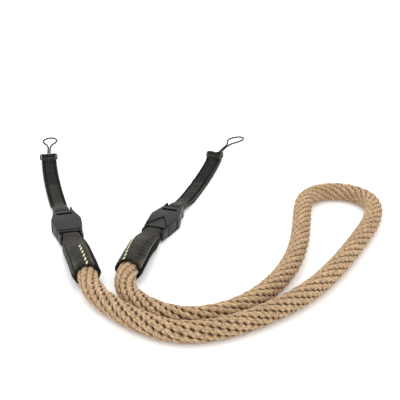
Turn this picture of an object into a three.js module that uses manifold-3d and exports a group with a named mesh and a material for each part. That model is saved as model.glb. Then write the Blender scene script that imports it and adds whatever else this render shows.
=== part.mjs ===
// A camera neck strap lying on a flat surface. A soft braided cotton rope goes round the neck, and
// each of its two ends sits in a black leather cap. The cap's narrow end is folded round the bar of
// a small side-release buckle. The other half of the buckle carries a short two-layer leather tab,
// and a thin cord loop runs through the fold at the tab's far end, to be tied to a camera.
// Millimetres, +Z up, with the surface at z = 0 and the origin at the middle of the strap's box.
import * as THREE from 'three';
import { mergeVertices } from 'three/addons/utils/BufferGeometryUtils.js';
import Module from 'manifold-3d';

const wasm = await Module();
wasm.setup();

// Clearance between pieces that touch on the real strap, how far round things lie above z = 0, how
// far a cutting shape runs past what it cuts, and the sides of a round bar or hole
const gap = 0.3;
const rest = 0.05;
const over = 1;
const roundSides = 20;

// Rope
const ropeDiameter = 10;
const ropeSides = 12;
const ropeSteps = 76;
const ropeInCap = 14;

// Leather caps
const capLength = 44.5;
const capWall = 1;
const capMouthWidth = 13.8;
const capNeckWidth = 9.4;
const capNeckLeather = 1.7;
const capStraightShare = 0.55;
const capSides = 20;

// Buckles
const buckleThickness = 7;
const buckleWidth = 15.6;
const buckleBars = 31.5;
const barDiameter = 2.6;
const wall = 1.25;
const edgeRadius = 0.5;
const plugBody = 1.6;
const plugInset = 0.35;
const plugRailInset = 1;
const prongReach = 14.5;
const prongWidth = 1.7;
const thumbPad = 0.25;
const guideWidth = 2.7;
const guideShort = 3;
const windowLength = 5.2;
const notchDepth = 10.5;
const tongueShort = 0.9;
const slotLength = 2.3;
const slotSpacing = 4.8;
const railWidth = 1.1;

// Tabs: two layers with a glue line between them, and a little thicker where they are sewn
const tabLength = 85;
const tabWidth = 9;
const tabFoldWidth = 7.6;
const tabLeather = 1.35;
const tabGlue = 0.1;
const tabSewn = 0.06;
const tabEye = 3;
const tabStraightShare = 0.15;
const tabSides = 12;

// Thin cord loops
const loopDiameter = 0.9;
const loopSides = 8;
const loopSteps = 78;
const loopTip = 1.2;

// Sizes that follow from the ones above
const ropeRadius = ropeDiameter / 2;
const capHole = ropeRadius + gap;
const capMouth = capHole + capWall;
const barHeight = buckleThickness / 2;
const barHole = barDiameter / 2 + gap;
const neckRadius = barHole + capNeckLeather;
const tabFold = barHole + tabLeather;
const tabHalf = tabLeather + tabGlue / 2;
const eyeFold = tabEye / 2 + tabLeather;
const ropeInMouth = capMouth - gap / 2;

// The buckle's places, measured along it from the plug's bar
const buckleHalf = buckleWidth / 2;
const blockStart = barDiameter / 2 + slotLength;
const plugFace = blockStart + plugBody;
const mouthFace = plugFace + gap;
const prongTip = plugFace + prongReach;
const windowStart = prongTip - windowLength;
const pocketEnd = prongTip + gap;
const socketEnd = buckleBars + barDiameter / 2;
const slotHalf = tabFoldWidth / 2 + gap;

// The two sides of the strap. The mouth is where the rope leaves the cap, and headings are in
// degrees from +X. turn is how far the tab bends sideways, and sway how far its loop lies aside.
const sides = [
  {
    name: 'left', mouth: [-49.2, -77.5], cap: 107, buckle: 106.5, turn: -6, sway: -2, flipped: true,
  },
  {
    name: 'right', mouth: [-30.8, -73], cap: 80, buckle: 71, turn: 8, sway: -9, flipped: false,
  },
];

// The rope's way over the surface from the left mouth round to the right one: x, y, and how much of
// the mouth's extra height the rope still has there.
const ropeRoute = [
  [-46.1, -86.8, 0.5],
  [-41.8, -94.8, 0.12],
  [-36.2, -101.6, 0],
  [-29.6, -108.8, 0],
  [-21.6, -115.2, 0],
  [-12.4, -120.7, 0],
  [-2, -122.8, 0],
  [10.2, -120.4, 0],
  [24, -113.4, 0],
  [40, -101.2, 0],
  [54.2, -86, 0],
  [65.2, -69.6, 0],
  [75.2, -51.6, 0],
  [84.6, -33.2, 0],
  [92, -16.6, 0],
  [96, -1, 0],
  [95.4, 8.6, 0],
  [90.8, 16.8, 0],
  [83.2, 21.6, 0],
  [74.4, 22.1, 0],
  [66.4, 18.4, 0],
  [60.9, 11.2, 0],
  [58, 0, 0],
  [55.6, -17, 0],
  [52.2, -38.8, 0],
  [46.4, -60.8, 0],
  [37.6, -80.8, 0],
  [27.6, -95.4, 0],
  [17.4, -104.8, 0],
  [8, -109.8, 0],
  [-1.6, -111.6, 0],
  [-10.8, -109.3, 0],
  [-19, -104, 0],
  [-25.3, -97.4, 0],
  [-29.6, -89.8, 0.1],
  [-31.5, -81.5, 0.45],
];

// One half of a thin loop's way, from the middle of the tab's eye: x outwards, y sideways, and
// height. It leaves the eye, turns back over the fold to the middle and runs out to a round end.
const loopRoute = [
  [0, 0.4, 2.6],
  [0, 2.4, 2.6],
  [0, 4.3, 2.6],
  [0.3, 5.15, 2.9],
  [1.2, 5.4, 3.7],
  [2.1, 5.3, 4.5],
  [2.75, 4.6, 5.05],
  [2.9, 3.2, 4.95],
  [2.95, 1.8, 4.9],
  [3.4, 0.9, 4.5],
  [4.6, 0.65, 3.3],
  [6.6, 0.62, 1.7],
  [9.4, 0.62, 0.75],
  [13, 0.62, 0.5],
  [20, 0.62, 0.5],
  [27, 0.7, 0.5],
  [32, 1.6, 0.5],
  [36, 3.6, 0.5],
  [40.5, 4.4, 0.5],
  [44.4, 2.6, 0.5],
];

// The cap's form along its length. wide goes from the neck's width at 0 to the mouth's at 1, and
// thick does the same with the half heights. top and side give the section: 2 and 2 make an oval,
// less than 2 at the side a pointed one, and more a boxy one.
const capForm = [
  { along: 0, wide: 1, thick: 1, top: 2.2, side: 1.3 },
  { along: 0.14, wide: 0.98, thick: 0.97, top: 2.2, side: 1.3 },
  { along: 0.28, wide: 0.95, thick: 0.93, top: 2.3, side: 1.4 },
  { along: 0.4, wide: 0.93, thick: 0.86, top: 2.3, side: 1.4 },
  { along: 0.5, wide: 0.91, thick: 0.74, top: 2.4, side: 1.6 },
  { along: 0.6, wide: 0.88, thick: 0.55, top: 2.6, side: 1.9 },
  { along: 0.68, wide: 0.84, thick: 0.37, top: 2.8, side: 2.4 },
  { along: 0.76, wide: 0.74, thick: 0.21, top: 3, side: 3 },
  { along: 0.84, wide: 0.52, thick: 0.08, top: 3.4, side: 3.4 },
  { along: 0.9, wide: 0.28, thick: 0, top: 4, side: 4 },
  { along: 0.95, wide: 0.02, thick: 0, top: 4, side: 4 },
  { along: 1, wide: 0, thick: 0, top: 4, side: 4 },
];

// The tab's form along its length. fold is how far its section is still that of the fold round the
// bar, slim how far it is cut narrower for the socket's slot, eye how far its section is that of the
// fold round the loop's eye, sewn that of the thicker sewn part, and lift the share of the bar's
// height at which it lies there.
const tabForm = [
  { along: 0, fold: 1, slim: 1, eye: 0, sewn: 0, lift: 1 },
  { along: 0.05, fold: 0.5, slim: 1, eye: 0, sewn: 0, lift: 1 },
  { along: 0.1, fold: 0, slim: 0.9, eye: 0, sewn: 0, lift: 0.66 },
  { along: 0.22, fold: 0, slim: 0, eye: 0, sewn: 0, lift: 0 },
  { along: 0.36, fold: 0, slim: 0, eye: 0, sewn: 0, lift: 0 },
  { along: 0.5, fold: 0, slim: 0, eye: 0, sewn: 0, lift: 0 },
  { along: 0.52, fold: 0, slim: 0, eye: 0, sewn: 1, lift: 0 },
  { along: 0.65, fold: 0, slim: 0, eye: 0, sewn: 1, lift: 0 },
  { along: 0.78, fold: 0, slim: 0, eye: 0, sewn: 1, lift: 0 },
  { along: 0.92, fold: 0, slim: 0, eye: 0, sewn: 1, lift: 0 },
  { along: 0.97, fold: 0, slim: 0, eye: 0.5, sewn: 0, lift: 0 },
  { along: 1, fold: 0, slim: 0, eye: 1, sewn: 0, lift: 0 },
];
const tabSquare = 6;

// Shares of the buckle's half width: both ends of the plug's block and its tongue, and the V in the
// socket's front face that the tongue points into
const plugShare = { start: 0.79, face: 0.8, tongue: 0.62 };
const notchShare = 0.72;

// The socket's outline along its length from the mouth, its half width as a share of the buckle's
const socketForm = [
  { along: 0, wide: 0.8 },
  { along: 0.41, wide: 1 },
  { along: 0.49, wide: 0.99 },
  { along: 0.84, wide: (slotHalf + railWidth) / buckleHalf },
];

// Degrees round a fold's end at which a leather form has its last rings, and how boxy the end is:
// 2 makes it half round
const endRings = [30, 55, 75];
const endSquare = 2.6;

// Colours
const cotton = new THREE.MeshStandardMaterial({ color: 0xb08f6c, roughness: 0.95, metalness: 0 });
const leather = new THREE.MeshStandardMaterial({ color: 0x2b2927, roughness: 0.5, metalness: 0 });
const plastic = new THREE.MeshStandardMaterial({ color: 0x232322, roughness: 0.35, metalness: 0 });
const blackCord = new THREE.MeshStandardMaterial({ color: 0x151414, roughness: 0.8, metalness: 0 });

// A closed geometry reduced to shared corner points, as the booleans need it
function welded(geometry) {
  const plain = geometry.index ? geometry.toNonIndexed() : geometry.clone();
  for (const name of Object.keys(plain.attributes)) {
    if (name !== 'position') plain.deleteAttribute(name);
  }
  return mergeVertices(plain, 1e-4);
}

function solid(geometry) {
  const merged = welded(geometry);
  return new wasm.Manifold(new wasm.Mesh({
    numProp: 3,
    vertProperties: new Float32Array(merged.attributes.position.array),
    triVerts: new Uint32Array(merged.index.array),
  }));
}

function geometryOf(body) {
  const mesh = body.getMesh();
  const geometry = new THREE.BufferGeometry();
  geometry.setAttribute('position', new THREE.BufferAttribute(mesh.vertProperties, 3));
  geometry.setIndex(new THREE.BufferAttribute(mesh.triVerts, 1));
  geometry.computeVertexNormals();
  return geometry;
}

function box(low, high) {
  const size = high.map((value, axis) => value - low[axis]);
  const middle = high.map((value, axis) => (value + low[axis]) / 2);
  return solid(new THREE.BoxGeometry(...size).translate(...middle));
}

// A round bar across the strap at a given place
function crossBar(x, z, radius, halfWidth) {
  return solid(
    new THREE.CylinderGeometry(radius, radius, 2 * halfWidth, roundSides).translate(x, 0, z),
  );
}

// A round hole across a leather piece, for a bar or a cord
function crossHole(place, height, radius, degrees) {
  return solid(
    new THREE.CylinderGeometry(radius, radius, tabWidth * 2, roundSides)
      .rotateZ(THREE.MathUtils.degToRad(degrees))
      .translate(place.x, place.y, height),
  );
}

// A flat plate from its outline in X and Y, between two heights, with an optional rounded edge
function plate(outline, low, high, rounding = 0) {
  const points = outline.map(([x, y]) => new THREE.Vector2(x, y));
  const geometry = new THREE.ExtrudeGeometry(new THREE.Shape(points), {
    depth: high - low - 2 * rounding,
    bevelEnabled: rounding > 0,
    bevelThickness: rounding,
    bevelSize: rounding,
    bevelOffset: -rounding,
    bevelSegments: 2,
    curveSegments: 6,
  });
  return solid(geometry.translate(0, 0, low + rounding));
}

// A symmetrical outline from rows of how far along and how wide
function mirrored(rows) {
  const right = rows.map(([x, half]) => [x, -half]);
  const left = [...rows].reverse();
  return [...right, ...left];
}

function direction(degrees) {
  const angle = THREE.MathUtils.degToRad(degrees);
  return new THREE.Vector3(Math.cos(angle), Math.sin(angle), 0);
}

// A line that runs straight, then bends from one heading to another over a length
function bentLine(start, first, straight, second, bend, beyond) {
  const knee = start.clone().addScaledVector(direction(first), straight);
  const end = knee.clone().addScaledVector(direction((first + second) / 2), bend);
  const path = new THREE.CurvePath();
  path.add(new THREE.LineCurve3(start, knee));
  path.add(new THREE.CubicBezierCurve3(
    knee,
    knee.clone().addScaledVector(direction(first), bend / 3),
    end.clone().addScaledVector(direction(second), -bend / 3),
    end,
  ));
  path.add(new THREE.LineCurve3(end, end.clone().addScaledVector(direction(second), beyond)));
  return path;
}

// Where a bent line's curve ends
function bendEnd(path) {
  return path.curves[1].v3.clone();
}

// The row of a form at a distance along it, blended between the two nearest ones
function blendRows(rows, distance) {
  const next = rows.findIndex((row) => row.at >= distance);
  if (next <= 0) return rows[0];
  const [low, high] = [rows[next - 1], rows[next]];
  const share = (distance - low.at) / (high.at - low.at);
  const mixed = {};
  for (const name of Object.keys(low)) mixed[name] = THREE.MathUtils.lerp(low[name], high[name], share);
  return mixed;
}

// One coordinate of a circle, pushed out towards a square
function squared(value, square) {
  const tiny = 1e-6;
  return Math.abs(value) < tiny ? 0 : Math.sign(value) * Math.abs(value) ** (2 / square);
}

// A leather form along a line on the surface: each ring's half width, half height, middle height
// and roundness at the top and the sides come from the row at its distance.
function leatherForm(path, distances, rowAt, around) {
  const rings = distances.length - 1;
  const geometry = new THREE.CylinderGeometry(1, 1, rings, around, rings);
  const spot = geometry.attributes.position;
  const total = path.getLength();
  for (let index = 0; index < spot.count; index += 1) {
    const distance = distances[Math.round(spot.getY(index) + rings / 2)];
    const row = rowAt(distance);
    const share = THREE.MathUtils.clamp(distance / total, 0, 1);
    const place = path.getPointAt(share);
    const ahead = path.getTangentAt(share);
    const across = squared(spot.getX(index), row.top) * row.wide;
    spot.setXYZ(
      index,
      place.x + ahead.y * across,
      place.y - ahead.x * across,
      row.height + squared(spot.getZ(index), row.side) * row.thick,
    );
  }
  return solid(geometry);
}

// The rounded end of a fold: its rings' distances from where it starts, and a form's row there
function endSteps(radius) {
  return endRings.map((degrees) => radius * Math.sin(THREE.MathUtils.degToRad(degrees)));
}

function roundEnd(row, beyond, radius) {
  const left = 1 - (beyond / radius) ** endSquare;
  return { ...row, thick: row.thick * left ** (1 / endSquare) };
}

// The cap: a round mouth for the rope that flattens into a narrow neck folded round the plug's bar
function capRows() {
  return capForm.map((row) => {
    const thick = THREE.MathUtils.lerp(neckRadius, capMouth, row.thick);
    return {
      at: row.along * capLength,
      wide: THREE.MathUtils.lerp(capNeckWidth, capMouthWidth, row.wide) / 2,
      thick,
      height: thick + (barHeight - neckRadius) * row.along,
      top: row.top,
      side: row.side,
    };
  });
}

function capLine(side) {
  const start = new THREE.Vector3(...side.mouth, 0);
  const straight = capLength * capStraightShare;
  return bentLine(start, side.cap, straight, side.buckle, capLength - straight, neckRadius);
}

// Where the plug's bar is, seen from above
function barPlace(side) {
  return bendEnd(capLine(side));
}

function cap(side) {
  const rows = capRows();
  const rowAt = (distance) => {
    if (distance <= capLength) return blendRows(rows, distance);
    return roundEnd(rows[rows.length - 1], distance - capLength, neckRadius);
  };
  const rings = [
    ...rows.map((row) => row.at),
    ...endSteps(neckRadius).map((beyond) => capLength + beyond),
  ];
  const body = leatherForm(capLine(side), rings, rowAt, capSides);
  const depth = ropeInCap + gap;
  const hollow = solid(
    new THREE.CylinderGeometry(capHole, capHole, depth + over, roundSides)
      .rotateZ(-Math.PI / 2)
      .translate((depth - over) / 2, 0, 0)
      .rotateZ(THREE.MathUtils.degToRad(side.cap))
      .translate(...side.mouth, ropeInMouth),
  );
  return body.subtract(hollow).subtract(crossHole(barPlace(side), barHeight, barHole, side.buckle));
}

// The buckle's pieces lie along +X with the plug's bar at the origin and the front face up. This is
// the socket's half width at a distance along it.
function socketHalf(x) {
  const rows = socketForm.map(({ along, wide }) => ({
    at: mouthFace + along * (socketEnd - mouthFace),
    half: wide * buckleHalf,
  }));
  return blendRows(rows, x).half;
}

function prong(hand) {
  const inner = wall + gap;
  const padStart = windowStart + gap + prongWidth / 2;
  const root = socketHalf(mouthFace) - inner;
  const shoulder = socketHalf(windowStart) - inner;
  const rows = [
    [plugFace - 2 * edgeRadius, root],
    [plugFace - 2 * edgeRadius, root - prongWidth],
    [windowStart, shoulder - prongWidth],
    [prongTip - prongWidth / 2, shoulder - prongWidth],
    [prongTip, shoulder - prongWidth / 2],
    [prongTip, shoulder],
    [prongTip - gap, socketHalf(prongTip) + thumbPad],
    [padStart, socketHalf(padStart) + thumbPad],
    [windowStart + gap, shoulder],
    [windowStart, shoulder],
    [mouthFace, root],
  ].map(([x, y]) => [x, hand * y]);
  return plate(hand > 0 ? rows.reverse() : rows, inner, buckleThickness - inner - gap);
}

function plug() {
  const rail = capNeckWidth / 2 + gap + railWidth;
  const railHigh = buckleThickness - plugRailInset;
  const blockHigh = buckleThickness - plugInset;
  const face = [plugFace, buckleHalf * plugShare.face];
  const frame = plate(
    mirrored([[-barDiameter / 2, rail - edgeRadius], [0, rail], face]),
    plugRailInset,
    railHigh,
    edgeRadius,
  );
  const opening = box(
    [-barDiameter, railWidth - rail, -over],
    [blockStart, rail - railWidth, buckleThickness + over],
  );
  const bar = crossBar(0, barHeight, barDiameter / 2, rail - railWidth / 2);
  const block = plate(
    mirrored([[blockStart, buckleHalf * plugShare.start], face]),
    plugInset,
    blockHigh,
    edgeRadius,
  );
  const inner = wall + gap;
  const root = plugFace - 2 * edgeRadius;
  const guideHalf = guideWidth / 2;
  const guideRows = mirrored([[root, guideHalf], [prongTip - guideShort, guideHalf]]);
  const guide = plate(guideRows, inner, buckleThickness - inner);
  const tongueHalf = buckleHalf * plugShare.tongue;
  const tongueTip = mouthFace + notchDepth - tongueShort;
  const tongueNeck = tongueTip - (notchDepth * tongueHalf) / (buckleHalf * notchShare);
  const tongueRows = mirrored([[root, tongueHalf], [tongueNeck, tongueHalf], [tongueTip, gap / 2]]);
  const tongue = plate(tongueRows, buckleThickness - inner, blockHigh);
  return frame.subtract(opening).add(bar).add(block).add(guide).add(tongue)
    .add(prong(-1)).add(prong(1));
}

// A slot through the socket, ending at a distance along the buckle
function socketSlot(end, length) {
  return box([end - length, -slotHalf, -over], [end, slotHalf, buckleThickness + over]);
}

function socket() {
  const length = socketEnd - mouthFace;
  const rail = slotHalf + railWidth;
  const outline = mirrored([
    ...socketForm.map(({ along, wide }) => [mouthFace + along * length, wide * buckleHalf]),
    [socketEnd - 2 * edgeRadius, rail],
    [socketEnd, rail - 2 * edgeRadius],
  ]);
  const body = plate(outline, 0, buckleThickness, edgeRadius);
  const high = buckleThickness - wall;
  const pocket = plate(mirrored([
    [mouthFace - over, socketHalf(mouthFace) - wall],
    ...[mouthFace, windowStart, pocketEnd].map((x) => [x, socketHalf(x) - wall]),
  ]), wall, high);
  const windows = box(
    [pocketEnd - gap - windowLength, -buckleHalf - over, wall],
    [pocketEnd, buckleHalf + over, high],
  );
  const notchHalf = buckleHalf * notchShare * (1 + over / notchDepth);
  const notch = plate(
    [[mouthFace - over, -notchHalf], [mouthFace + notchDepth, 0], [mouthFace - over, notchHalf]],
    high - gap,
    buckleThickness + over,
  );
  const barFace = buckleBars - barDiameter / 2;
  const bar = crossBar(buckleBars, barHeight, barDiameter / 2, rail - railWidth / 2);
  return body.subtract(pocket).subtract(windows).subtract(notch)
    .subtract(socketSlot(socketEnd + over, slotLength + barDiameter + over))
    .subtract(socketSlot(barFace - slotSpacing, slotLength))
    .add(bar);
}

// The tab: two layers of leather, folded round the socket's bar at one end and into the loop's eye
// at the other. It comes down from the bar's height to lie on the surface.
function tabLine(side) {
  const start = barPlace(side).addScaledVector(direction(side.buckle), buckleBars - tabFold);
  const straight = tabLength * tabStraightShare;
  const heading = side.buckle + side.turn;
  return bentLine(start, side.buckle, tabFold + straight, heading, tabLength - straight, eyeFold);
}

function tabRows() {
  return tabForm.map((row) => {
    const thick = tabHalf + row.sewn * tabSewn
      + row.fold * (tabFold - tabHalf) + row.eye * (eyeFold - tabHalf);
    return {
      at: tabFold + row.along * tabLength,
      wide: THREE.MathUtils.lerp(tabWidth, tabFoldWidth, row.slim) / 2,
      thick,
      height: THREE.MathUtils.lerp(thick, barHeight, row.lift),
      top: tabSquare,
      side: tabSquare,
    };
  });
}

function tab(side) {
  const rows = tabRows();
  const reach = tabFold + tabLength;
  const rowAt = (distance) => {
    if (distance < tabFold) return roundEnd(rows[0], tabFold - distance, tabFold);
    if (distance > reach) return roundEnd(rows[rows.length - 1], distance - reach, eyeFold);
    return blendRows(rows, distance);
  };
  const path = tabLine(side);
  const rings = [
    ...endSteps(tabFold).map((beyond) => tabFold - beyond).reverse(),
    ...rows.map((row) => row.at),
    ...endSteps(eyeFold).map((beyond) => reach + beyond),
  ];
  const bar = barPlace(side).addScaledVector(direction(side.buckle), buckleBars);
  return leatherForm(path, rings, rowAt, tabSides)
    .subtract(crossHole(bar, barHeight, barHole, side.buckle))
    .subtract(crossHole(bendEnd(path), eyeFold, tabEye / 2, side.buckle + side.turn));
}

// A tube with flat ends along a list of points
function tube(points, radius, around, steps) {
  const section = new THREE.Shape();
  for (let side = 0; side < around; side += 1) {
    const angle = (2 * Math.PI * side) / around;
    const [x, y] = [radius * Math.cos(angle), radius * Math.sin(angle)];
    if (side === 0) section.moveTo(x, y);
    else section.lineTo(x, y);
  }
  return new THREE.ExtrudeGeometry(section, {
    steps,
    extrudePath: new THREE.CatmullRomCurve3(points, false, 'centripetal'),
  });
}

// A point on the rope's middle line at a depth inside a cap
function inCap(side, depth) {
  return new THREE.Vector3(...side.mouth, ropeInMouth).addScaledVector(direction(side.cap), depth);
}

function rope() {
  const [left, right] = sides;
  const lying = ropeRadius + rest;
  const visible = ropeRoute.map(([x, y, share]) => (
    new THREE.Vector3(x, y, THREE.MathUtils.lerp(lying, ropeInMouth, share))
  ));
  const points = [
    inCap(left, ropeInCap),
    inCap(left, 0),
    ...visible,
    inCap(right, 0),
    inCap(right, ropeInCap),
  ];
  return tube(points, ropeRadius, ropeSides, ropeSteps);
}

function cordLoop(side) {
  const eye = bendEnd(tabLine(side));
  const ahead = direction(side.buckle + side.turn);
  const aside = new THREE.Vector3(-ahead.y, ahead.x, 0);
  const [length, , height] = loopRoute[loopRoute.length - 1];
  const place = ([x, y, z]) => eye.clone()
    .addScaledVector(ahead, x)
    .addScaledVector(aside, y + side.sway * (x / length) ** 2)
    .setZ(z);
  const out = loopRoute.map(place);
  const back = loopRoute.map(([x, y, z]) => place([x, -y, z])).reverse();
  const tip = place([length + loopTip, 0, height]);
  return tube([...out, tip, ...back], loopDiameter / 2, loopSides, loopSteps);
}

function named(name, geometry, material) {
  const mesh = new THREE.Mesh(geometry, material);
  mesh.name = name;
  return mesh;
}

const group = new THREE.Group();
const strap = new THREE.Group();
group.add(strap);

strap.add(named('neck_rope', rope(), cotton));
for (const side of sides) {
  const bar = barPlace(side);
  const buckle = new THREE.Group();
  buckle.position.set(bar.x, bar.y, barHeight);
  buckle.rotation.z = THREE.MathUtils.degToRad(side.buckle);
  const faceUp = new THREE.Group();
  faceUp.rotation.x = side.flipped ? Math.PI : 0;
  buckle.add(faceUp);
  for (const [piece, make] of [['plug', plug], ['socket', socket]]) {
    const half = named(`${side.name}_buckle_${piece}`, geometryOf(make()), plastic);
    half.position.z = -barHeight;
    faceUp.add(half);
  }
  strap.add(named(`${side.name}_cap`, geometryOf(cap(side)), leather));
  strap.add(buckle);
  strap.add(named(`${side.name}_tab`, geometryOf(tab(side)), leather));
}

// The origin goes to the middle of the strap, measured without its thin loops
const middle = new THREE.Box3().setFromObject(strap, true).getCenter(new THREE.Vector3());
strap.position.set(-middle.x, -middle.y, 0);
for (const side of sides) {
  strap.add(named(`${side.name}_cord_loop`, cordLoop(side), blackCord));
}

export default group;
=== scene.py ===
# %% [markdown]
# # A neck strap of braided cotton
# A soft cotton rope goes round the neck. Each end sits in a black leather cap, each cap holds a small
# side-release buckle, and from each buckle runs a sewn leather tab that ends in a thin cord loop. The
# strap lies flat on a table. The solids come from the CAD model and give every place and size. Here
# the soft pieces are made again with their braid, seams, folds and stitches, and every piece gets
# its material.

# %% Load the CAD frame
import math

import bmesh
import bpy
import numpy as np
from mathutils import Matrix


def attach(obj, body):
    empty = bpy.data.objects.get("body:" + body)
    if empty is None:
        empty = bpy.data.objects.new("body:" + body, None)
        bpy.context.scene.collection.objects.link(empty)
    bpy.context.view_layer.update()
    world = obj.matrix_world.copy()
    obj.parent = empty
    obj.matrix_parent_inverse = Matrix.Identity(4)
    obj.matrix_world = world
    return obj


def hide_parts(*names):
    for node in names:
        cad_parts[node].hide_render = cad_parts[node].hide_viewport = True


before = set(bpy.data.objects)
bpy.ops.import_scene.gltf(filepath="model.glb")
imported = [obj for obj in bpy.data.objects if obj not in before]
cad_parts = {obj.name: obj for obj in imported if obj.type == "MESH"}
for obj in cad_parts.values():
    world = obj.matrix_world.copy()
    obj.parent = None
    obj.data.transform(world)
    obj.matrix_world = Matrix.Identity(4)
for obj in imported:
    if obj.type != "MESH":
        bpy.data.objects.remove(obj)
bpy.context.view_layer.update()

MM = 0.001
UP = np.array([0.0, 0.0, 1.0])
print("CAD nodes:", ", ".join(sorted(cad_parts)))

# %% [markdown]
# ## Camera
# The picture looks down on the strap from the near side, with a fairly long lens, so that parallel
# edges hardly converge. A shorter lens from nearer by would show the same strap, but its near bend
# would look thicker. So the lens is a 78 mm one on a 36 mm sensor, 200 mm above the table.

# %% Camera
CAMERA_PLACE = (0.000166, -0.406434, 0.200)
CAMERA_PITCH = 24
LENS = 78.3
SENSOR_WIDTH = 36

camera_data = bpy.data.cameras.new("table_camera")
camera_data.sensor_width = SENSOR_WIDTH
camera_data.lens = LENS
camera_data.clip_start = 10 * MM
camera = bpy.data.objects.new("table_camera", camera_data)
camera.location = CAMERA_PLACE
camera.rotation_euler = (math.radians(90 - CAMERA_PITCH), 0, 0)
bpy.context.scene.collection.objects.link(camera)
bpy.context.scene.camera = camera
print(f"camera {CAMERA_PLACE[2] / MM:.0f} mm above the table, pitched {CAMERA_PITCH} degrees down")

# %% [markdown]
# ## Lines that the soft pieces follow
# Every soft piece of the strap is a long form along a line: the rope, the caps, the tabs and the
# thin cords. Blender's curves could carry them, but a section that changes along the way, with folds
# and seams in it, needs to know where it is. So a line is kept as closely spaced points, with a
# direction ahead and one to the side at each, and a piece's sections are written in those.

# %% Distances along a line
def distances(line):
    """How far along a line each of its points is."""
    return np.concatenate([[0], np.cumsum(np.linalg.norm(np.diff(line, axis=0), axis=1))])


def points_at(line, along, wanted):
    """A line's points, or the directions kept with them, at the wanted distances along it."""
    return np.stack([np.interp(wanted, along, line[:, k]) for k in range(3)], axis=-1)


def evenly_spaced(line, count):
    along = distances(line)
    return points_at(line, along, np.linspace(0, along[-1], count))


# %% Smooth lines and bent lines
SPAN_STEPS = 40
BEND_STEPS = 60


def smooth_line(points, count):
    """A centripetal Catmull-Rom line through the points, at even spacing."""
    p = np.array(points, float)
    p = np.vstack([2 * p[0] - p[1], p, 2 * p[-1] - p[-2]])
    spans = []
    for i in range(1, len(p) - 2):
        a, b, c, d = p[i - 1:i + 3]
        ta = 0.0
        tb = ta + np.linalg.norm(b - a) ** 0.5
        tc = tb + np.linalg.norm(c - b) ** 0.5
        td = tc + np.linalg.norm(d - c) ** 0.5
        t = np.linspace(tb, tc, SPAN_STEPS, endpoint=False)[:, None]
        ab = (tb - t) / (tb - ta) * a + (t - ta) / (tb - ta) * b
        bc = (tc - t) / (tc - tb) * b + (t - tb) / (tc - tb) * c
        cd = (td - t) / (td - tc) * c + (t - tc) / (td - tc) * d
        abc = (tc - t) / (tc - ta) * ab + (t - ta) / (tc - ta) * bc
        bcd = (td - t) / (td - tb) * bc + (t - tb) / (td - tb) * cd
        spans.append((tc - t) / (tc - tb) * abc + (t - tb) / (tc - tb) * bcd)
    return evenly_spaced(np.vstack(spans + [p[-2][None, :]]), count)


def heading(degrees):
    return np.array([math.cos(math.radians(degrees)), math.sin(math.radians(degrees)), 0.0])


def bent_line(start, first, straight, second, bend, beyond, count):
    """Straight on at one heading, a curve to a second one, and straight on again, on the table."""
    start = np.array([*start, 0.0])
    knee = start + heading(first) * straight
    end = knee + heading((first + second) / 2) * bend
    t = np.linspace(0, 1, BEND_STEPS)[:, None]
    b, c = knee + heading(first) * bend / 3, end - heading(second) * bend / 3
    curve = (1 - t) ** 3 * knee + 3 * t * (1 - t) ** 2 * b + 3 * t * t * (1 - t) * c + t ** 3 * end
    line = np.vstack([start[None, :], curve, (end + heading(second) * beyond)[None, :]])
    return evenly_spaced(line, count)


# %% Directions at a line
def unit(v):
    return v / np.linalg.norm(v, axis=-1, keepdims=True)


def line_frame(line):
    """Aside and up, square to a line that lies nearly flat, at each of its points."""
    ahead = unit(np.gradient(line, axis=0))
    aside = unit(np.cross(UP, ahead))
    return aside, np.cross(ahead, aside)


def places_on(line, along):
    """Places at distances along a flat line, and the direction to the right of it at each."""
    line_along = distances(line)
    ahead = unit(points_at(unit(np.gradient(line, axis=0)), line_along, along))
    right = np.stack([ahead[..., 1], -ahead[..., 0], np.zeros_like(along)], axis=-1)
    return points_at(line, line_along, along), right


# %% Soft edges in numbers
def groove(value, width):
    """1 where the value is 0, falling softly to 0 beyond the width on both sides."""
    return np.exp(-(value / width) ** 2)


def fades_out(value, at, sharpness):
    """1 well before a value and 0 well past it. A negative sharpness turns it round."""
    return 1 / (1 + np.exp((value - at) * sharpness))


# %% [markdown]
# ## Skins
# A soft form is a rectangular grid, as wide as the way round the form and as long as the line.
# A curve with a bevel would make plain tubes, but no folds. create_grid makes the grid with a UV map,
# so a pattern can follow the surface: V runs along the piece and U round it. Each grid point is then
# moved to its section, and the two long edges are merged.

# %% Grids wrapped into tubes
def new_bmesh(with_uv=True):
    bm = bmesh.new()
    if with_uv:
        bm.loops.layers.uv.new("UVMap")
    return bm


def skin_grid(bm, rings, layer=None, values=None):
    """Adds a closed tube to a bmesh: rings is (along, around, 3), values one number per ring point."""
    along, around = rings.shape[:2]
    made = bmesh.ops.create_grid(bm, x_segments=around, y_segments=along - 1, size=1, calc_uvs=True)
    corners = np.array([v.co[:2] for v in made["verts"]])
    ring = np.rint((corners[:, 1] + 1) / 2 * (along - 1)).astype(int)
    spot = np.rint((corners[:, 0] + 1) / 2 * around).astype(int) % around
    for v, place in zip(made["verts"], rings[ring, spot]):
        v.co = place
    if layer is not None:
        for v, value in zip(made["verts"], values[ring, spot]):
            v[layer] = value


def tube_rings(line, radius, around):
    """Round sections square to a line."""
    aside, up = line_frame(line)
    angle = np.linspace(0, 2 * np.pi, around, endpoint=False)
    ring = np.cos(angle)[None, :, None] * aside[:, None, :] + np.sin(angle)[None, :, None] * up[:, None, :]
    return line[:, None, :] + radius * ring


# %% Finished pieces
# Points nearer to each other than this, in metres, are merged. Tiny stitches need it finer.
MERGE = 1e-6
FINE_MERGE = 1e-8


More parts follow.
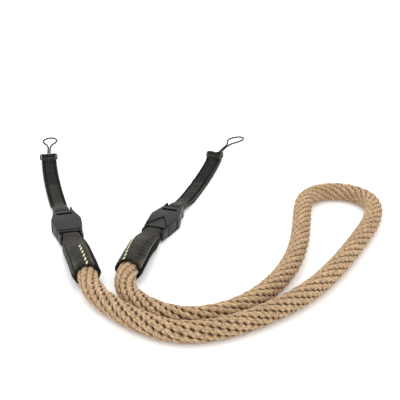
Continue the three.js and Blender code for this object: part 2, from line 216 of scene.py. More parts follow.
def finish_mesh(name, bm, material, merge=MERGE):
    """Merges doubles, closes open ends, points faces outwards and makes the piece."""
    bmesh.ops.remove_doubles(bm, verts=bm.verts, dist=merge)
    open_edges = [e for e in bm.edges if e.is_boundary]
    if open_edges:
        bmesh.ops.holes_fill(bm, edges=open_edges)
    bmesh.ops.recalc_face_normals(bm, faces=bm.faces)
    for face in bm.faces:
        face.smooth = True
    mesh = bpy.data.meshes.new(name)
    bm.to_mesh(mesh)
    bm.free()
    piece = bpy.data.objects.new(name, mesh)
    bpy.context.scene.collection.objects.link(piece)
    mesh.materials.append(material)
    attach(piece, "root")
    triangles = sum(len(p.vertices) - 2 for p in mesh.polygons)
    print(f"{name}: {triangles} triangles")
    return piece


# %% [markdown]
# ## Materials
# Four finishes make the strap: matt tan cotton, smooth black leather, moulded black plastic and tight
# black cord, with cream lacing and black sewing thread as details. Each is a Principled shader. Its
# colour varies a little with noise and it has a fine bump, because nothing real is perfectly even.
# An image could give the same, but noise on object coordinates needs none and stays put on a piece.

# %% Nodes that the finishes share
def start_material(name, rough, **sockets):
    material = bpy.data.materials.new(name)
    material.use_nodes = True
    nodes, links = material.node_tree.nodes, material.node_tree.links
    shader = nodes["Principled BSDF"]
    shader.inputs["Roughness"].default_value = rough
    for socket, value in sockets.items():
        shader.inputs[socket.replace("_", " ")].default_value = value
    print("finish:", name)
    return material, nodes, links, shader


def surface_value(nodes, name):
    """A number that a piece's mesh keeps at each of its points."""
    attribute = nodes.new("ShaderNodeAttribute")
    attribute.attribute_name = name
    return attribute.outputs["Fac"]


def object_noise(nodes, links, scale, detail):
    place = nodes.new("ShaderNodeTexCoord")
    noise = nodes.new("ShaderNodeTexNoise")
    noise.inputs["Scale"].default_value = scale
    noise.inputs["Detail"].default_value = detail
    links.new(place.outputs["Object"], noise.inputs["Vector"])
    return noise.outputs["Fac"]


def colour_ramp(nodes, links, source, stops):
    ramp = nodes.new("ShaderNodeValToRGB")
    while len(ramp.color_ramp.elements) < len(stops):
        ramp.color_ramp.elements.new(0.5)
    for element, (position, colour) in zip(ramp.color_ramp.elements, stops):
        element.position = position
        element.color = (*colour, 1)
    links.new(source, ramp.inputs["Fac"])
    return ramp.outputs["Color"]


def multiplied(nodes, links, first, second):
    """One colour times another."""
    mix = nodes.new("ShaderNodeMix")
    mix.data_type = "RGBA"
    mix.blend_type = "MULTIPLY"
    mix.inputs["Factor"].default_value = 1.0
    for socket, colour in (("A", first), ("B", second)):
        links.new(colour, [s for s in mix.inputs if s.name == socket and s.type == "RGBA"][0])
    return [s for s in mix.outputs if s.type == "RGBA"][0]


def add_bump(nodes, links, shader, height, strength, distance, over=None):
    """A bump on the shader, on top of another bump where one is given."""
    bump = nodes.new("ShaderNodeBump")
    bump.inputs["Strength"].default_value = strength
    bump.inputs["Distance"].default_value = distance
    links.new(height, bump.inputs["Height"])
    if over is not None:
        links.new(over, bump.inputs["Normal"])
    links.new(bump.outputs["Normal"], shader.inputs["Normal"])
    return bump.outputs["Normal"]


# %% [markdown]
# ## Cotton
# The rope's cotton is matt and a little fuzzy, tan on top, and painted shade turns it brown in the pits
# of the braid. An ambient occlusion node could darken the pits, but then their depth alone says how
# dark they are. So the rope's mesh keeps a number at each point, outward, that is 1 on top and 0 deep
# down, and a colour ramp paints the shade from it. Two noises break the colour up: large soft
# blotches, and fibres that also make the bump.

# %% Cotton
COTTON_BY_DEPTH = [(0.0, (0.030, 0.011, 0.003)), (0.45, (0.095, 0.043, 0.013)),
                   (0.70, (0.395, 0.258, 0.138)), (1.0, (0.70, 0.500, 0.306))]
COTTON_BLOTCHES = [(0.3, (0.84, 0.82, 0.80)), (0.7, (1.0, 1.0, 1.0))]
COTTON_FIBRES = [(0.34, (0.46, 0.42, 0.37)), (0.62, (1.0, 1.0, 1.0))]

cotton, nodes, links, shader = start_material(
    "tan_cotton", 0.95, Sheen_Weight=0.10, Sheen_Roughness=0.6, Specular_IOR_Level=0.06)
by_depth = colour_ramp(nodes, links, surface_value(nodes, "outward"), COTTON_BY_DEPTH)
blotches = colour_ramp(nodes, links, object_noise(nodes, links, scale=160, detail=2), COTTON_BLOTCHES)
fibres = object_noise(nodes, links, scale=1150, detail=4)
grain = colour_ramp(nodes, links, fibres, COTTON_FIBRES)
toned = multiplied(nodes, links, by_depth, blotches)
links.new(multiplied(nodes, links, toned, grain), shader.inputs["Base Color"])
add_bump(nodes, links, shader, fibres, strength=0.8, distance=0.45 * MM)

# %% [markdown]
# ## Leather
# The caps and tabs are smooth black leather that has been pressed and bent. Painted shade makes it
# nearly black in its creases, grooves and dents, painted highlights make it grey along edges and folds,
# and a cut edge also shows its own paler leather. Separate materials for creases and edges would
# leave hard borders. So the leather's mesh keeps a number too, tone, where 0.5 is plain leather, less
# is darker and duller, and more is lighter and glossier.

# %% Leather
LEATHER_BY_TONE = [(0.0, (0.001, 0.001, 0.001)), (0.3, (0.008, 0.0074, 0.0066)),
                   (0.5, (0.026, 0.0237, 0.0205)), (1.0, (0.16, 0.142, 0.118))]
ROUGH_BY_TONE = [(0.0, (1, 1, 1)), (0.3, (0.85, 0.85, 0.85)),
                 (0.5, (0.55, 0.55, 0.55)), (1.0, (0.32, 0.32, 0.32))]
LEATHER_PATCHES = [(0.3, (0.50, 0.49, 0.47)), (0.7, (1.45, 1.40, 1.30))]

leather, nodes, links, shader = start_material("black_leather", 0.55, Specular_IOR_Level=0.12)
tone_value = surface_value(nodes, "tone")
by_tone = colour_ramp(nodes, links, tone_value, LEATHER_BY_TONE)
links.new(colour_ramp(nodes, links, tone_value, ROUGH_BY_TONE), shader.inputs["Roughness"])
hide = object_noise(nodes, links, scale=260, detail=5)
patches = colour_ramp(nodes, links, hide, LEATHER_PATCHES)
links.new(multiplied(nodes, links, by_tone, patches), shader.inputs["Base Color"])
pores = object_noise(nodes, links, scale=1900, detail=3)
hide_bump = add_bump(nodes, links, shader, hide, strength=0.5, distance=1.0 * MM)
add_bump(nodes, links, shader, pores, strength=0.4, distance=0.14 * MM, over=hide_bump)

# %% [markdown]
# ## Plastic, cord and threads
# The buckles are satin moulded plastic, the loops tight plaited cord, and the lacing and sewing are
# twisted thread. All four are close to one colour, so one helper makes them: a noise between a dark
# and a light tone, at the scale of the grain or the plait, and the same noise as a shallow bump.

# %% Plastic, cord and threads
def mottled(name, rough, specular, scale, detail, dark, light, bump=None):
    """A finish between two close colours. The bump is its strength and its depth."""
    material, nodes, links, shader = start_material(name, rough, Specular_IOR_Level=specular)
    noise = object_noise(nodes, links, scale, detail)
    links.new(colour_ramp(nodes, links, noise, [(0.3, dark), (0.7, light)]), shader.inputs["Base Color"])
    if bump is not None:
        add_bump(nodes, links, shader, noise, *bump)
    return material


plastic = mottled("black_plastic", rough=0.4, specular=0.2, scale=500, detail=3, bump=(0.15, 0.1 * MM),
                  dark=(0.0088, 0.0081, 0.0069), light=(0.0172, 0.0158, 0.0135))
black_cord = mottled("black_cord", rough=0.7, specular=0.3, scale=1800, detail=2, bump=(0.6, 0.15 * MM),
                     dark=(0.008, 0.008, 0.008), light=(0.022, 0.021, 0.020))
cream_thread = mottled("cream_thread", rough=0.75, specular=0.3, scale=1600, detail=2,
                       bump=(0.4, 0.12 * MM), dark=(0.46, 0.42, 0.24), light=(0.80, 0.76, 0.52))
black_thread_and_hole_shade = mottled("black_thread_and_hole_shade", rough=0.6, specular=0.3, scale=1600, detail=2,
                       dark=(0.006, 0.006, 0.006), light=(0.016, 0.015, 0.015))

# %% [markdown]
# ## The two ends of the strap
# Both ends are made alike, and only lie differently: cap, buckle and tab each run straight at a
# heading of their own, with a soft bend between. So one table holds what differs, and every function
# below takes a side's name. Places are the middle of the cap's mouth, the plug's bar and the tab's
# eye on the table, in metres, and headings are in degrees. sway is how many mm the cord loop swings
# to the left near its tip, and below 0 it swings to the right.

# %% The two ends of the strap
SIDES = {
    "left": {
        "mouth": (-0.05153, -0.05643), "cap": 107, "buckle": 106.5, "tab": 100.5,
        "bar": (-0.06446, -0.01385), "eye": (-0.09390, 0.09883), "sway": -2,
    },
    "right": {
        "mouth": (-0.03313, -0.05193), "cap": 80, "buckle": 71, "tab": 79,
        "bar": (-0.02387, -0.00844), "eye": (0.00924, 0.10318), "sway": -9,
    },
}
for side_name, side in SIDES.items():
    print(f"{side_name} end, degrees: cap {side['cap']}, buckle {side['buckle']}, tab {side['tab']}")

# %% [markdown]
# ## The thin cord loops
# Each loop is a thin black cord that passes through the eye at the tab's far end, turns back over
# the fold to the middle, and runs out doubled to a round end. It lies on the table under its own
# weight. A simulation could lay it down, but so short and light a cord lies as its folds send it. So
# one half of its way is a short list, and the other half is the same mirrored.

# %% Cord loops
CORD_DIAMETER = 0.9 * MM
CORD_STEPS = 260
CORD_SIDES = 12
# Half of the loop's way from the middle of the eye, in mm: ahead, to the left, and up
LOOP_WAY = [
    (0, 0.4, 2.6), (0, 2.4, 2.6), (0, 4.3, 2.6), (0.3, 4.95, 2.9), (1.2, 5.02, 3.7), (2.1, 4.98, 4.5),
    (2.75, 4.4, 5.05), (2.9, 3.2, 4.95), (2.95, 1.8, 4.9), (3.4, 0.9, 4.5), (4.6, 0.65, 3.3),
    (6.6, 0.62, 1.7), (9.4, 0.62, 0.75), (13, 0.62, 0.5), (20, 0.62, 0.5), (27, 0.7, 0.5),
    (32, 1.6, 0.5), (36, 3.6, 0.5), (40.5, 4.4, 0.5), (44.4, 2.6, 0.5),
]
LOOP_TIP = (45.6, 0, 0.5)


def loop_line(side):
    eye = np.array([*side["eye"], 0.0])
    ahead = heading(side["tab"])
    aside = np.array([-ahead[1], ahead[0], 0.0])
    way = LOOP_WAY + [LOOP_TIP] + [(x, -y, z) for x, y, z in reversed(LOOP_WAY)]
    reach = LOOP_WAY[-1][0]
    return [eye + MM * (ahead * x + aside * (y + side["sway"] * (x / reach) ** 2) + UP * z)
            for x, y, z in way]


for side_name, side in SIDES.items():
    way = loop_line(side)
    line = smooth_line(way, CORD_STEPS)
    bm = new_bmesh()
    skin_grid(bm, tube_rings(line, CORD_DIAMETER / 2, CORD_SIDES))
    loop = finish_mesh(f"{side_name}_thin_cord", bm, black_cord)
    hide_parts(f"{side_name}_cord_loop")
    print(f"{side_name} thin cord is {distances(line)[-1] / MM:.0f} mm long")

# %% [markdown]
# ## The rope
# The neck rope is about 10 mm thick and 520 mm long, a round plait of soft cotton. On its surface
# eight ridges wind slowly round it, and each ridge is a pair of strands laid round each other, so
# dark pits show between the ridges wherever a pair stands on edge. A bump on a plain tube would keep
# a smooth outline. So each strand is a tube of its own: eight ridges times two strands round a core
# in painted deep shade. Real strands press into each other, which tubes can't do. So the tubes are
# drawn full, the pits between them are real but shallow, and part of their darkness is painted
# shade, kept in the number outward.

# %% Route of the rope
ROPE_DIAMETER = 10 * MM
ROPE_STEPS = 1100
# Points given along the rope's middle, in metres, from inside the left cap round the near
# bend and the far loop to inside the right cap
ROPE_ROUTE = [
    (-0.0556, -0.0430, 0.00615), (-0.0515, -0.0564, 0.00615), (-0.0484, -0.0657, 0.00560),
    (-0.0441, -0.0737, 0.00518), (-0.0385, -0.0805, 0.00505), (-0.0319, -0.0877, 0.00505),
    (-0.0239, -0.0941, 0.00505), (-0.0147, -0.0996, 0.00505), (-0.0043, -0.1017, 0.00505),
    (0.0079, -0.0993, 0.00505), (0.0217, -0.0923, 0.00505), (0.0377, -0.0801, 0.00505),
    (0.0519, -0.0649, 0.00505), (0.0629, -0.0485, 0.00505), (0.0729, -0.0305, 0.00505),
    (0.0823, -0.0121, 0.00505), (0.0897, 0.0045, 0.00505), (0.0937, 0.0201, 0.00505),
    (0.0931, 0.0297, 0.00505), (0.0885, 0.0379, 0.00505), (0.0809, 0.0427, 0.00505),
    (0.0721, 0.0432, 0.00505), (0.0641, 0.0395, 0.00505), (0.0586, 0.0323, 0.00505),
    (0.0557, 0.0211, 0.00505), (0.0533, 0.0041, 0.00505), (0.0499, -0.0177, 0.00505),
    (0.0441, -0.0397, 0.00505), (0.0353, -0.0597, 0.00505), (0.0253, -0.0743, 0.00505),
    (0.0151, -0.0837, 0.00505), (0.0057, -0.0887, 0.00505), (-0.0039, -0.0905, 0.00505),
    (-0.0131, -0.0882, 0.00505), (-0.0213, -0.0829, 0.00505), (-0.0276, -0.0763, 0.00505),
    (-0.0319, -0.0687, 0.00516), (-0.0338, -0.0604, 0.00554), (-0.0331, -0.0519, 0.00615),
    (-0.0307, -0.0381, 0.00615),
]

rope_line = smooth_line(ROPE_ROUTE, ROPE_STEPS)
rope_along = distances(rope_line)
rope_aside, rope_up = line_frame(rope_line)
print(f"rope length {rope_along[-1] / MM:.1f} mm")

# %% Lay of the rope
RIDGES = 8
# Where the braid is pulled or pushed it changes: the share of the rope's length, the angle at which
# the ridges wind in degrees, and the mm from one pit to the next
ROPE_LAY = [(0.0, 20, 3.4), (0.3, 26, 3.2), (0.5, 34, 2.9), (0.62, 34, 2.9), (0.8, 28, 3.1), (1.0, 22, 3.3)]

rope_share = rope_along / rope_along[-1]
lay = np.array(ROPE_LAY)
ridge_angle = np.radians(np.interp(rope_share, lay[:, 0], lay[:, 1]))
pit_spacing = np.interp(rope_share, lay[:, 0], lay[:, 2]) * MM
rope_step = np.gradient(rope_along)
ridge_turn = np.cumsum(np.tan(ridge_angle) / (ROPE_DIAMETER / 2) * rope_step)
pair_turn = np.cumsum(math.pi / pit_spacing * rope_step)
print(f"the ridges turn {ridge_turn[-1] / (2 * math.pi):.1f} times round the rope")

# %% Strands of the rope
PAIR_CENTRE = 3.50 * MM
# Half of how far a pair's two strands move apart: outwards, and across the ridge
PAIR_RISE = 0.26 * MM
PAIR_SPREAD = 0.46 * MM
# How much further round each ridge's pair is than its neighbour's
PAIR_OFFSET = math.pi / 4
STRAND_RADIUS = 1.14 * MM
STRAND_SIDES = 8
WOBBLE_HEIGHT = 0.06 * MM
WOBBLE_LENGTH = 23 * MM
TABLE_CLEARANCE = 0.02 * MM


def strand_line(ridge, which):
    """The middle line of one strand of a ridge's pair, and the way out from the rope's core."""
    around = ridge_turn + 2 * math.pi * ridge / RIDGES
    outward = np.cos(around)[:, None] * rope_aside + np.sin(around)[:, None] * rope_up
    sideways = -np.sin(around)[:, None] * rope_aside + np.cos(around)[:, None] * rope_up
    turn = pair_turn + math.pi * which + PAIR_OFFSET * ridge
    wobble = WOBBLE_HEIGHT * np.sin(rope_along / WOBBLE_LENGTH + ridge)
    return (rope_line + (PAIR_CENTRE + wobble)[:, None] * outward
            + PAIR_RISE * np.cos(turn)[:, None] * outward
            + PAIR_SPREAD * np.sin(turn)[:, None] * sideways), outward


def strand_rings(ridge, which):
    line, outward = strand_line(ridge, which)
    ahead = unit(np.gradient(line, axis=0))
    side = unit(np.cross(ahead, outward))
    out = np.cross(side, ahead)
    angle = np.linspace(0, 2 * np.pi, STRAND_SIDES, endpoint=False)
    rings = line[:, None, :] + STRAND_RADIUS * (
        np.cos(angle)[None, :, None] * out[:, None, :] + np.sin(angle)[None, :, None] * side[:, None, :])
    rings[..., 2] = np.maximum(rings[..., 2], TABLE_CLEARANCE)
    return rings


# %% How light the cotton is
# Painted shade from the rope's middle outwards: the cotton is darkest up to the first, and lightens over
# the second
DARK_BELOW = 2.6 * MM
LIGHT_OVER = 2.3 * MM
# A pair's turn gives the valley beside it painted shade where it stands on edge, and painted light in
# between
PIT_SHADE = 0.5
PIT_LIGHT = 0.25
VALLEY_WIDTH = 0.20
# The caps squeeze the braid shut, which lifts the painted shade of its pits: for this length from each
# end, and then fading over as much again
TIGHT_LAY = 15 * MM
TIGHT_SHARE = 0.6
TIGHT_LIGHT = 0.9


def outward_value(rings):
    """0 at the rope's core and 1 at its outside, with painted shade in the pits of the braid."""
    arm = rings - rope_line[:, None, :]
    across = (arm * rope_aside[:, None, :]).sum(axis=2)
    around = np.arctan2((arm * rope_up[:, None, :]).sum(axis=2), across)
    ridge = (around - ridge_turn[:, None]) * RIDGES / (2 * math.pi)
    valley = np.floor(ridge) + 0.5
    on_edge = np.cos(2 * (pair_turn[:, None] + PAIR_OFFSET * valley)) / 2 + 0.5
    from_end = np.minimum(rope_along, rope_along[-1] - rope_along)[:, None]
    tight = 1 - np.clip((from_end - TIGHT_LAY) / TIGHT_LAY, 0, 1)
    light = (np.linalg.norm(arm, axis=2) - DARK_BELOW) / LIGHT_OVER
    light = light + TIGHT_SHARE * tight * (TIGHT_LIGHT - light)
    in_valley = groove(ridge - valley, VALLEY_WIDTH) * (1 - tight)
    return np.clip(light + in_valley * (PIT_LIGHT * (1 - on_edge) - PIT_SHADE * on_edge), 0, 1)


# %% Pieces of the rope
CORE_SIDES = 16
CORE_EVERY = 3
HALVES = {"a": range(0, RIDGES // 2), "b": range(RIDGES // 2, RIDGES)}

for group, ridges in HALVES.items():
    bm = new_bmesh()
    layer = bm.verts.layers.float.new("outward")
    for ridge in ridges:
        for which in (0, 1):
            rings = strand_rings(ridge, which)
            skin_grid(bm, rings, layer, outward_value(rings))
    finish_mesh(f"rope_strands_{group}", bm, cotton)

bm = new_bmesh()
layer = bm.verts.layers.float.new("outward")
core_rings = tube_rings(rope_line[::CORE_EVERY], PAIR_CENTRE, CORE_SIDES)
skin_grid(bm, core_rings, layer, np.zeros(core_rings.shape[:2]))
rope_core = finish_mesh("rope_core", bm, cotton)

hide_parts("neck_rope")

# %% [markdown]
# ## Leather caps
# A cap is a sleeve of thin leather wrapped round the rope's end and laced together along its top,
# round at the mouth and pressed flat where it goes round the buckle's bar. Cloth simulation would
# give it chance folds, but leather this stiff keeps the shape it was pressed into. So the CAD table
# of its form is used again with many more points, and the seam, edges and dents are moved into the
# skin. The mouth turns inside, so the leather's thickness shows round the rope.

# %% Form of a cap
CAP_LENGTH = 44.5 * MM
CAP_MOUTH_WIDTH = 13.8 * MM
CAP_NECK_WIDTH = 9.4 * MM
CAP_MOUTH_HALF = 6.3 * MM
CAP_STRAIGHT = 0.55
CAP_LINE_STEPS = 400
NECK_HALF = 3.3 * MM
BAR_HEIGHT = 3.5 * MM
# Along the cap: how wide and how thick it is, from 1 at the mouth to 0 at the neck, and how boxy
# its section is at the top and at the sides, where 2 is round
CAP_FORM = {
    "along": [0, 0.14, 0.28, 0.4, 0.5, 0.6, 0.68, 0.76, 0.84, 0.9, 0.95, 1],
    "wide": [1, 0.98, 0.95, 0.93, 0.91, 0.88, 0.84, 0.74, 0.52, 0.28, 0.02, 0],
    "thick": [1, 0.97, 0.93, 0.86, 0.74, 0.55, 0.37, 0.21, 0.08, 0, 0, 0],
    "top": [2.2, 2.2, 2.3, 2.3, 2.4, 2.6, 2.8, 3, 3.4, 4, 4, 4],
    "side": [1.3, 1.3, 1.4, 1.4, 1.6, 1.9, 2.4, 3, 3.4, 4, 4, 4],
}
FOLD_SQUARE = 2.6
FOLD_THINNEST = 0.0004


def squared(value, square):
    """A sine or cosine bent so that the section it draws is boxier, or more pointed below 2."""
    return np.sign(value) * np.abs(value) ** (2 / square)


def fold_end(beyond):
    """How thick a fold still is at a share of its end's radius: a little boxier than half round."""
    return np.maximum(1 - beyond ** FOLD_SQUARE, FOLD_THINNEST) ** (1 / FOLD_SQUARE)


def cap_section(side_name, along, angle):
    """Places on a cap's outside at distances along it, for angles round it from its right side."""
    side = SIDES[side_name]
    line = bent_line(side["mouth"], side["cap"], CAP_LENGTH * CAP_STRAIGHT, side["buckle"],
                     CAP_LENGTH * (1 - CAP_STRAIGHT), NECK_HALF, CAP_LINE_STEPS)
    place, right = places_on(line, along)
    share = np.minimum(along, CAP_LENGTH) / CAP_LENGTH
    form = {key: np.interp(share, CAP_FORM["along"], CAP_FORM[key]) for key in CAP_FORM}
    wide = (CAP_NECK_WIDTH + (CAP_MOUTH_WIDTH - CAP_NECK_WIDTH) * form["wide"]) / 2
    thick = NECK_HALF + (CAP_MOUTH_HALF - NECK_HALF) * form["thick"]
    height = thick + (BAR_HEIGHT - NECK_HALF) * share
    thick = thick * fold_end(np.clip((along - CAP_LENGTH) / NECK_HALF, 0, 1))
    across = squared(np.cos(angle), form["top"]) * wide
    rise = squared(np.sin(angle), form["side"]) * thick
    return place + right * across[..., None] + UP * (height + rise)[..., None]


# %% Seam of a cap
# Where the seam starts at the mouth and where it ends, in degrees round the cap from its right side,
# and the share of the cap's length that is laced
SEAM_ANGLE = {"left": (88, 88), "right": (103, 126)}
SEAM_END = {"left": 0.5, "right": 0.66}
SEAM_FADE = 60
SEAM_DEPTH, SEAM_WIDTH = 0.5 * MM, 0.32 * MM
# The seam's groove gets painted shade
SEAM_SHADE, SEAM_SHADE_WIDTH = 0.42, 0.45 * MM
SWELL_HEIGHT, SWELL_AT, SWELL_WIDTH = 0.14 * MM, 1.1 * MM, 0.7 * MM


def seam_way(side_name, along):
    """The seam's angle round the cap at distances along it."""
    share = np.clip(along / (CAP_LENGTH * SEAM_END[side_name]), 0, 1)
    return np.radians(np.interp(share, (0, 1), SEAM_ANGLE[side_name]))


def seam_relief(side_name, skin, along):
    """What each relief gives: how far it moves the skin out, and how it changes the tone. The
    leather swells beside the seam's groove, which gets painted shade."""
    reach = np.linalg.norm(skin - cap_section(side_name, along, seam_way(side_name, along)), axis=2)
    laced = fades_out(along / CAP_LENGTH, SEAM_END[side_name], SEAM_FADE)
    push = SWELL_HEIGHT * groove(reach - SWELL_AT, SWELL_WIDTH) - SEAM_DEPTH * groove(reach, SEAM_WIDTH)
    return push * laced, -SEAM_SHADE * groove(reach, SEAM_SHADE_WIDTH) * laced


# %% Pressed edges of a cap
# The cap is pressed from above, which leaves a crease along each side: how far out it lies, as a
# share of half the width, on the left and on the right. Widths here are shares of the same.
PRESSED_EDGES = {"left": (0.79, 0.556), "right": (0.79, 0.92)}
PRESS_END, PRESS_FADE = 0.85, 40
CREASE_DEPTH, CREASE_WIDTH = 0.28 * MM, 0.025
# The crease gets painted shade along its groove
CREASE_SHADE, CREASE_SHADE_WIDTH = 0.40, 0.022
RIM_HEIGHT, RIM_INSIDE, RIM_WIDTH = 0.10 * MM, 0.07, 0.04
# Beyond the right crease the leather turns away and down and gets painted shade, and just inside the
# crease a painted highlight runs along the edge
FLANK_SHADE, FLANK_START = 0.32, 0.01
EDGE_HIGHLIGHT = {"left": 0.22, "right": 0.45}
HIGHLIGHT_INSIDE, HIGHLIGHT_WIDTH = 0.055, 0.018
# Near the mouth both sides get a faint painted highlight
MOUTH_HIGHLIGHT, MOUTH_HIGHLIGHT_AT, MOUTH_HIGHLIGHT_LENGTH = 0.16, 5 * MM, 3.5 * MM
MOUTH_HIGHLIGHT_INSIDE, MOUTH_HIGHLIGHT_WIDTH = 0.12, 0.07


def edge_relief(side_name, along, around):
    """The creases along both sides, with painted shade and painted highlights beside them."""
    flank, right_hand = np.abs(np.cos(around)), np.cos(around) > 0
    left_edge, right_edge = PRESSED_EDGES[side_name]
    beyond = flank - np.where(right_hand, right_edge, left_edge)
    pressed = fades_out(along / CAP_LENGTH, PRESS_END, PRESS_FADE)
    push = RIM_HEIGHT * groove(beyond + RIM_INSIDE, RIM_WIDTH)
    push = push - CREASE_DEPTH * groove(beyond, CREASE_WIDTH)
    dark = CREASE_SHADE * groove(beyond, CREASE_SHADE_WIDTH)
    dark = dark + FLANK_SHADE * (beyond > FLANK_START) * right_hand
    edge_highlight = EDGE_HIGHLIGHT[side_name] * groove(beyond + HIGHLIGHT_INSIDE, HIGHLIGHT_WIDTH) * right_hand
    mouth_highlight = groove(along - MOUTH_HIGHLIGHT_AT, MOUTH_HIGHLIGHT_LENGTH) * groove(beyond + MOUTH_HIGHLIGHT_INSIDE, MOUTH_HIGHLIGHT_WIDTH)
    return push * pressed, (edge_highlight - dark) * pressed + MOUTH_HIGHLIGHT * mouth_highlight


# %% Dents, mouth and waves of a cap
# Only the right cap has the row of dents
DENTED_SIDE = "right"
DENTS, DENT_START, DENT_STEP = 9, 4 * MM, 3.9 * MM
DENT_ANGLE, DENT_REACH, DENT_SLANT = math.radians(60), 0.14, 3 * MM
# The dents get painted shade
DENT_DEPTH, DENT_WIDTH, DENT_SHADE = 0.28 * MM, 0.55 * MM, 0.24
ROLL_DEPTH, ROLL_WIDTH = 0.55 * MM, 1.1 * MM
# The rolled-in mouth gets painted shade
ROLL_SHADE, ROLL_SHADE_WIDTH = 0.2, 0.5 * MM
# Waves, in radians a mm along the cap
WAVE_HEIGHT = 0.05 * MM
WAVE_ALONG, WAVE_DRIFT, WAVE_BEND = 0.55, 0.11, 3


def dent_relief(along, around):
    """A row of short slanted dents along one side, with painted shade in them."""
    dents = 0
    for number in range(DENTS):
        slanted = along - (DENT_START + DENT_STEP * number) + (around - DENT_ANGLE) * DENT_SLANT
        dents = dents + groove(slanted, DENT_WIDTH) * groove(around - DENT_ANGLE, DENT_REACH)
    return -DENT_DEPTH * dents, -DENT_SHADE * dents


def mouth_relief(along):
    """The mouth's edge, rolled in, with painted shade."""
    return -ROLL_DEPTH * groove(along, ROLL_WIDTH), -ROLL_SHADE * groove(along, ROLL_SHADE_WIDTH)


def wave_relief(along, around):
    """Slight uneven waves, which leather has wherever it was bent by hand."""
    mm_along = along / MM
    wave = np.sin(mm_along * WAVE_ALONG + WAVE_BEND * np.sin(around * 2))
    return WAVE_HEIGHT * wave * np.sin(around * 3 + mm_along * WAVE_DRIFT), 0


# %% Skin of a cap
CAP_AROUND = 96
CAP_RINGS = 120
FOLD_ANGLES = [15, 30, 45, 58, 70, 80, 88]
PLAIN_TONE = 0.5
# Added where a direction could come out as nothing, which has no length to divide by
NEVER_ZERO = 1e-12


def cap_skin(side_name):
    """The cap's outside with all that is pressed into it, and the leather's tone."""
    stations = np.concatenate([np.linspace(0, CAP_LENGTH, CAP_RINGS),
                               CAP_LENGTH + NECK_HALF * np.sin(np.radians(FOLD_ANGLES))])
    angle = np.linspace(0, 2 * np.pi, CAP_AROUND, endpoint=False)
    along, around = np.meshgrid(stations, angle, indexing="ij")
    skin = cap_section(side_name, along, around)
    middle = skin.mean(axis=1, keepdims=True)
    around_way = np.roll(skin, -1, axis=1) - np.roll(skin, 1, axis=1)
    out = unit(np.cross(around_way, np.gradient(skin, axis=0)) + NEVER_ZERO)
    out = out * np.sign((out * (skin - middle)).sum(axis=2, keepdims=True))
    reliefs = [seam_relief(side_name, skin, along), edge_relief(side_name, along, around),
               wave_relief(along, around), mouth_relief(along)]
    if side_name == DENTED_SIDE:
        reliefs.append(dent_relief(along, around))
    skin = skin + out * sum(push for push, _ in reliefs)[..., None]
    skin[..., 2] = np.maximum(skin[..., 2], 0.0)
    return skin, np.clip(PLAIN_TONE + sum(tone for _, tone in reliefs), 0, 1)


# %% Mouth of a cap
ROPE_HEIGHT_IN_CAP = 6.15 * MM
SLEEVE_RADIUS = 5.1 * MM
# Rings over the mouth's edge: mm into the cap, share of the way from outside to inside, and tone,
# which is painted shade that deepens inside the mouth
MOUTH_RINGS = [(-0.15, 0.3, 0.42), (-0.2, 0.6, 0.38), (-0.1, 0.85, 0.3),
               (0.4, 1, 0.15), (5, 1, 0.15), (13, 1, 0.15)]


def cap_inside(side_name, outer):
    """Rings that turn in over the mouth's edge and go back along the rope, deepest first."""
    mouth = np.array([*SIDES[side_name]["mouth"], ROPE_HEIGHT_IN_CAP])
    ahead = heading(SIDES[side_name]["cap"])
    flat = outer - mouth
    flat = flat - (flat @ ahead)[:, None] * ahead
    inner = mouth + unit(flat) * SLEEVE_RADIUS
    rings = [outer * (1 - share) + inner * share + ahead * depth * MM for depth, share, _ in MOUTH_RINGS]
    return np.array(rings[::-1])


# %% Pieces of the caps
for side_name in SIDES:
    skin, tone = cap_skin(side_name)
    inside = cap_inside(side_name, skin[0])
    inside_tone = np.tile([[tone_there] for _, _, tone_there in MOUTH_RINGS[::-1]], (1, CAP_AROUND))
    bm = new_bmesh()
    layer = bm.verts.layers.float.new("tone")
    skin_grid(bm, np.concatenate([inside, skin]), layer, np.concatenate([inside_tone, tone]))
    cap = finish_mesh(f"{side_name}_leather_cap", bm, leather)
    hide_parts(f"{side_name}_cap")

# %% [markdown]
# ## Lacing
# The cap's two edges meet along a seam, and a cream thread laces them together. Each turn of the
# thread shows as one plump slanted stitch across the seam, and goes down through a small hole at
# each end. A curve could follow the whole thread, but nothing of it shows below the leather. So a
# stitch is a stretched ball sunk half into the leather, and a hole is a flat black one that paints
# the shade inside it.

# %% Stitches
STITCH_SEGMENTS, STITCH_RINGS = 12, 8


def stitch(bm, middle, ahead, out, size):
    """A stretched ball: half its length, width and height along ahead, across it and along out."""
    aside = np.cross(out, ahead)
    ball = bmesh.ops.create_uvsphere(bm, u_segments=STITCH_SEGMENTS, v_segments=STITCH_RINGS, radius=1)
    for v in ball["verts"]:
        along, across, rise = v.co
        v.co = middle + ahead * along * size[0] + aside * across * size[1] + out * rise * size[2]


# %% Lacing of the caps
LACE_STEP = 3.9 * MM
LACE_START = 0.2 * LACE_STEP
LACE_SIZE = {"left": (1.85 * MM, 0.5 * MM, 0.42 * MM), "right": (1.45 * MM, 0.5 * MM, 0.34 * MM)}
LACE_SLANT = math.radians(16)
LACE_PROUD = 0.02 * MM
HOLE_SIZE = (0.65 * MM, 0.55 * MM, 0.2 * MM)
HOLE_AHEAD, HOLE_ASIDE, HOLE_PROUD = 1.1 * MM, 0.85 * MM, 0.03 * MM
SEAM_STEPS = 260
SMALL_ANGLE = 0.02

